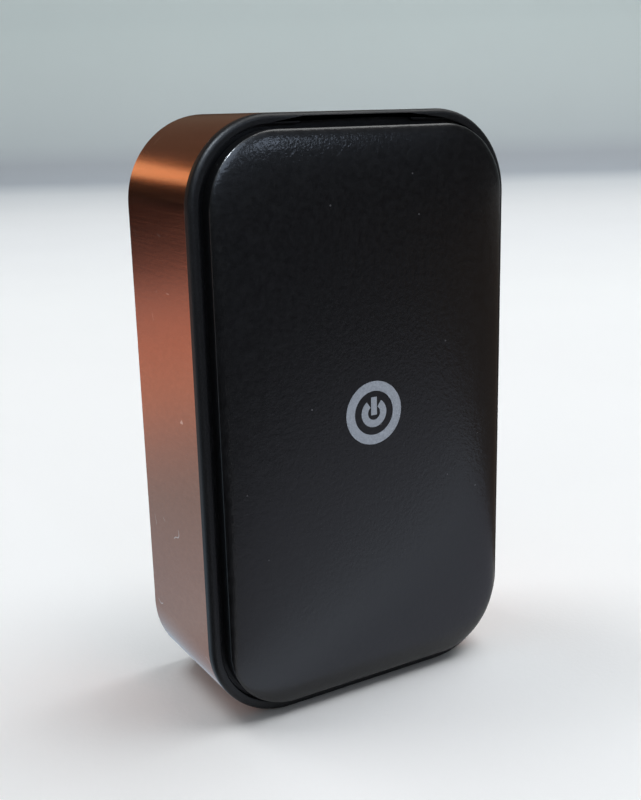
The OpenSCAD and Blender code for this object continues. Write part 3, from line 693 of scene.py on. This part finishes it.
film = amber("amber_film", (0.20, 0.075, 0.015), (0.27, 0.105, 0.022))
softened("film_antenna", "cellular_antenna", "case", film, 0.02)
lo, hi = (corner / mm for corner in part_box("cellular_antenna"))
bm = bmesh.new()
pads_x_up_w_h = (
    (-3.2, 1.15, 5.4, 1.2),
    (2.9, 1.15, 5.6, 1.2),
    (-4.7, -0.75, 2.2, 1.9),
    (-1.1, -0.75, 3.2, 1.9),
    (3.5, -1.1, 4.6, 1.2),
)
copper_t, copper_round = 0.024, 0.3
for x, up, w, h in pads_x_up_w_h:
    pad = bmesh.ops.create_cube(bm, size=mm)["verts"]
    bmesh.ops.scale(bm, vec=(w, copper_t, h), verts=pad)
    bmesh.ops.translate(bm, verts=pad, vec=Vector((x, lo.y, (lo.z + hi.z) / 2 + up)) * mm)
through = [e for e in bm.edges if abs(e.verts[0].co.y - e.verts[1].co.y) > 0.01 * mm]
soften(bm, through, copper_round, 3)
covered = amber("covered_copper", (0.50, 0.19, 0.045), (0.62, 0.25, 0.065))
made = put("antenna_pads", mesh_of(bm, "antenna_pads", covered))
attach(made, "case")

gold = metal("gold_plate", (0.60, 0.42, 0.16), (0.80, 0.60, 0.27), 0.4, 0.26)
softened("spring_clip", "antenna_clip", "case", gold, 0.03)


# ---- Card socket --------------------------------------------------------------------------------
# A black moulded tray with six gold contacts, soldered to the board. A shell stamped from steel sheet
# closes it over the card.
def plastic(name, dark, light, size, roughness, depth=0.008):
    """A moulded plastic that varies between two colours over a grain size, in millimetres."""
    made = Finish(name)
    pattern = made.noise(size * mm, 3)
    made.link(made.ramp(pattern, (0.3, dark), (0.7, light)), "Base Color")
    made.link(made.ramp(pattern, (0.3, roughness * 0.85), (0.7, roughness * 1.15)), "Roughness")
    made.bump(pattern, depth * mm, 0.6)
    return made


moulded = plastic("socket_moulding", (0.010, 0.010, 0.011), (0.022, 0.022, 0.024), 0.12, 0.5)
steel = metal("stamped_steel", (0.62, 0.63, 0.64), (0.74, 0.75, 0.76), 0.5, 0.42, (0.2, 1, 1), 0.001)
softened("socket_tray", "sim_socket_base", "case", moulded, 0.04)
softened("socket_cover", "sim_socket_shell", "case", steel, 0.05)
softened("socket_contacts", "sim_contacts", "case", gold, 0.03)


# ---- Card ---------------------------------------------------------------------------------------
# A white plastic card with one cut corner, punched from a sheet. Its gold contact plate, in six
# fields, faces the board.
white = plastic("card_plastic", (0.74, 0.74, 0.73), (0.82, 0.82, 0.81), 0.5, 0.45, 0.003)
softened("network_card", "sim_card", "card", white, 0.05)
lo, hi = (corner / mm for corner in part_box("sim_card"))
field_w, field_t, field_h, field_round = 3.4, 0.02, 2.3, 0.35
column_step, row_step = 3.2, 2.45
bm = bmesh.new()
for column in (-1, 1):
    for row in (-1, 0, 1):
        field = bmesh.ops.create_cube(bm, size=mm)["verts"]
        bmesh.ops.scale(bm, vec=(field_w, field_t, field_h), verts=field)
        x, z = (lo.x + hi.x) / 2 + column * column_step, (lo.z + hi.z) / 2 + row * row_step
        bmesh.ops.translate(bm, verts=field, vec=Vector((x, hi.y, z)) * mm)
through = [e for e in bm.edges if abs(e.verts[0].co.y - e.verts[1].co.y) > 0.01 * mm]
soften(bm, through, field_round, 3)
plate = put("card_contacts", mesh_of(bm, "card_contacts", gold))
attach(plate, "card")


# ---- Power key ----------------------------------------------------------------------------------
# A soft rubber key pad, held behind the deck by its flange, presses the white plunger of a small
# switch. The switch is a black moulding under a steel plate, soldered to the board.
rubber = plastic("key_rubber", (0.020, 0.020, 0.023), (0.032, 0.032, 0.036), 0.1, 0.65, 0.012)
cream = plastic("plunger_moulding", (0.66, 0.64, 0.58), (0.76, 0.74, 0.68), 0.3, 0.4)
softened("rubber_pad", "key_pad", "power_key", rubber, 0.08, 3)
softened("switch_button", "switch_plunger", "power_key", cream, 0.1, 3)
softened("switch_housing", "switch_body", "case", moulded, 0.06)
softened("switch_plate", "switch_frame", "case", steel, 0.04)


# ---- Status lamps -------------------------------------------------------------------------------
# Two lamps of clear yellowish resin, cast over their dies. They are soldered beside the key, under
# holes in the deck.
lens = Finish("lamp_resin", Roughness=0.16, IOR=1.53, Transmission_Weight=0.35, Coat_Weight=0.4)
haze = lens.noise(0.5 * mm, 2)
lens.link(lens.ramp(haze, (0.3, (0.78, 0.76, 0.58)), (0.7, (0.88, 0.88, 0.78))), "Base Color")
lens.bump(haze, 0.004 * mm, 0.5)
softened("status_lamps", "status_leds", "case", lens, 0.08, 3)


# ---- Charging socket ----------------------------------------------------------------------------
# A steel shell, folded round a black moulded tongue with five gold contacts. It is soldered to the
# board, behind the slot in the bottom of the sleeve.
softened("socket_shell", "usb_shell", "case", steel, 0.08, 3)
softened("socket_tongue", "usb_tongue", "case", moulded, 0.04)
softened("tongue_contacts", "usb_contacts", "case", gold, 0.02)


# ---- Battery ------------------------------------------------------------------------------------
# A lithium cell in a soft aluminium pouch. Its protection board is wrapped in amber tape, and two
# silicone leads go to the circuit board. A film covers it in front, and a foam pad lies behind it.
pouch = Finish("pouch_foil", Metallic=1.0)
crease = pouch.noise(2.2 * mm, 4)
pouch.link(pouch.ramp(crease, (0.3, (0.52, 0.53, 0.55)), (0.7, (0.70, 0.71, 0.73))), "Base Color")
pouch.link(pouch.ramp(crease, (0.3, 0.30), (0.7, 0.42)), "Roughness")
pouch.bump(crease, 0.09 * mm, 0.6)
softened("pouch_cell", "battery_cell", "case", pouch, 0.7, 5)

tape = amber("amber_tape", (0.50, 0.27, 0.04), (0.64, 0.37, 0.07))
softened("taped_board", "battery_board", "case", tape, 0.15, 3)
red = plastic("red_silicone", (0.42, 0.02, 0.012), (0.55, 0.035, 0.02), 0.3, 0.45)
softened("red_lead", "battery_lead_red", "case", red, 0.03)
dark = plastic("black_silicone", (0.008, 0.008, 0.008), (0.018, 0.018, 0.018), 0.3, 0.45)
softened("black_lead", "battery_lead_black", "case", dark, 0.03)
foam = plastic("foam", (0.66, 0.62, 0.52), (0.80, 0.77, 0.67), 0.18, 0.8, 0.05)
softened("foam_pad", "battery_pad", "case", foam, 0.03)
thin_film = amber("cell_film", (0.48, 0.24, 0.03), (0.60, 0.32, 0.05))
softened("cell_film", "insulation_film", "case", thin_film, 0.02)


# ---- Magnets ------------------------------------------------------------------------------------
# Two sintered discs, plated with nickel and glued into rings in the rear cover. They hold the tracker
# on steel.
nickel = metal("nickel_plate", (0.60, 0.58, 0.55), (0.74, 0.72, 0.69), 1.1, 0.18)
softened("disc_magnets", "magnets", "case", nickel, 0.15, 3)
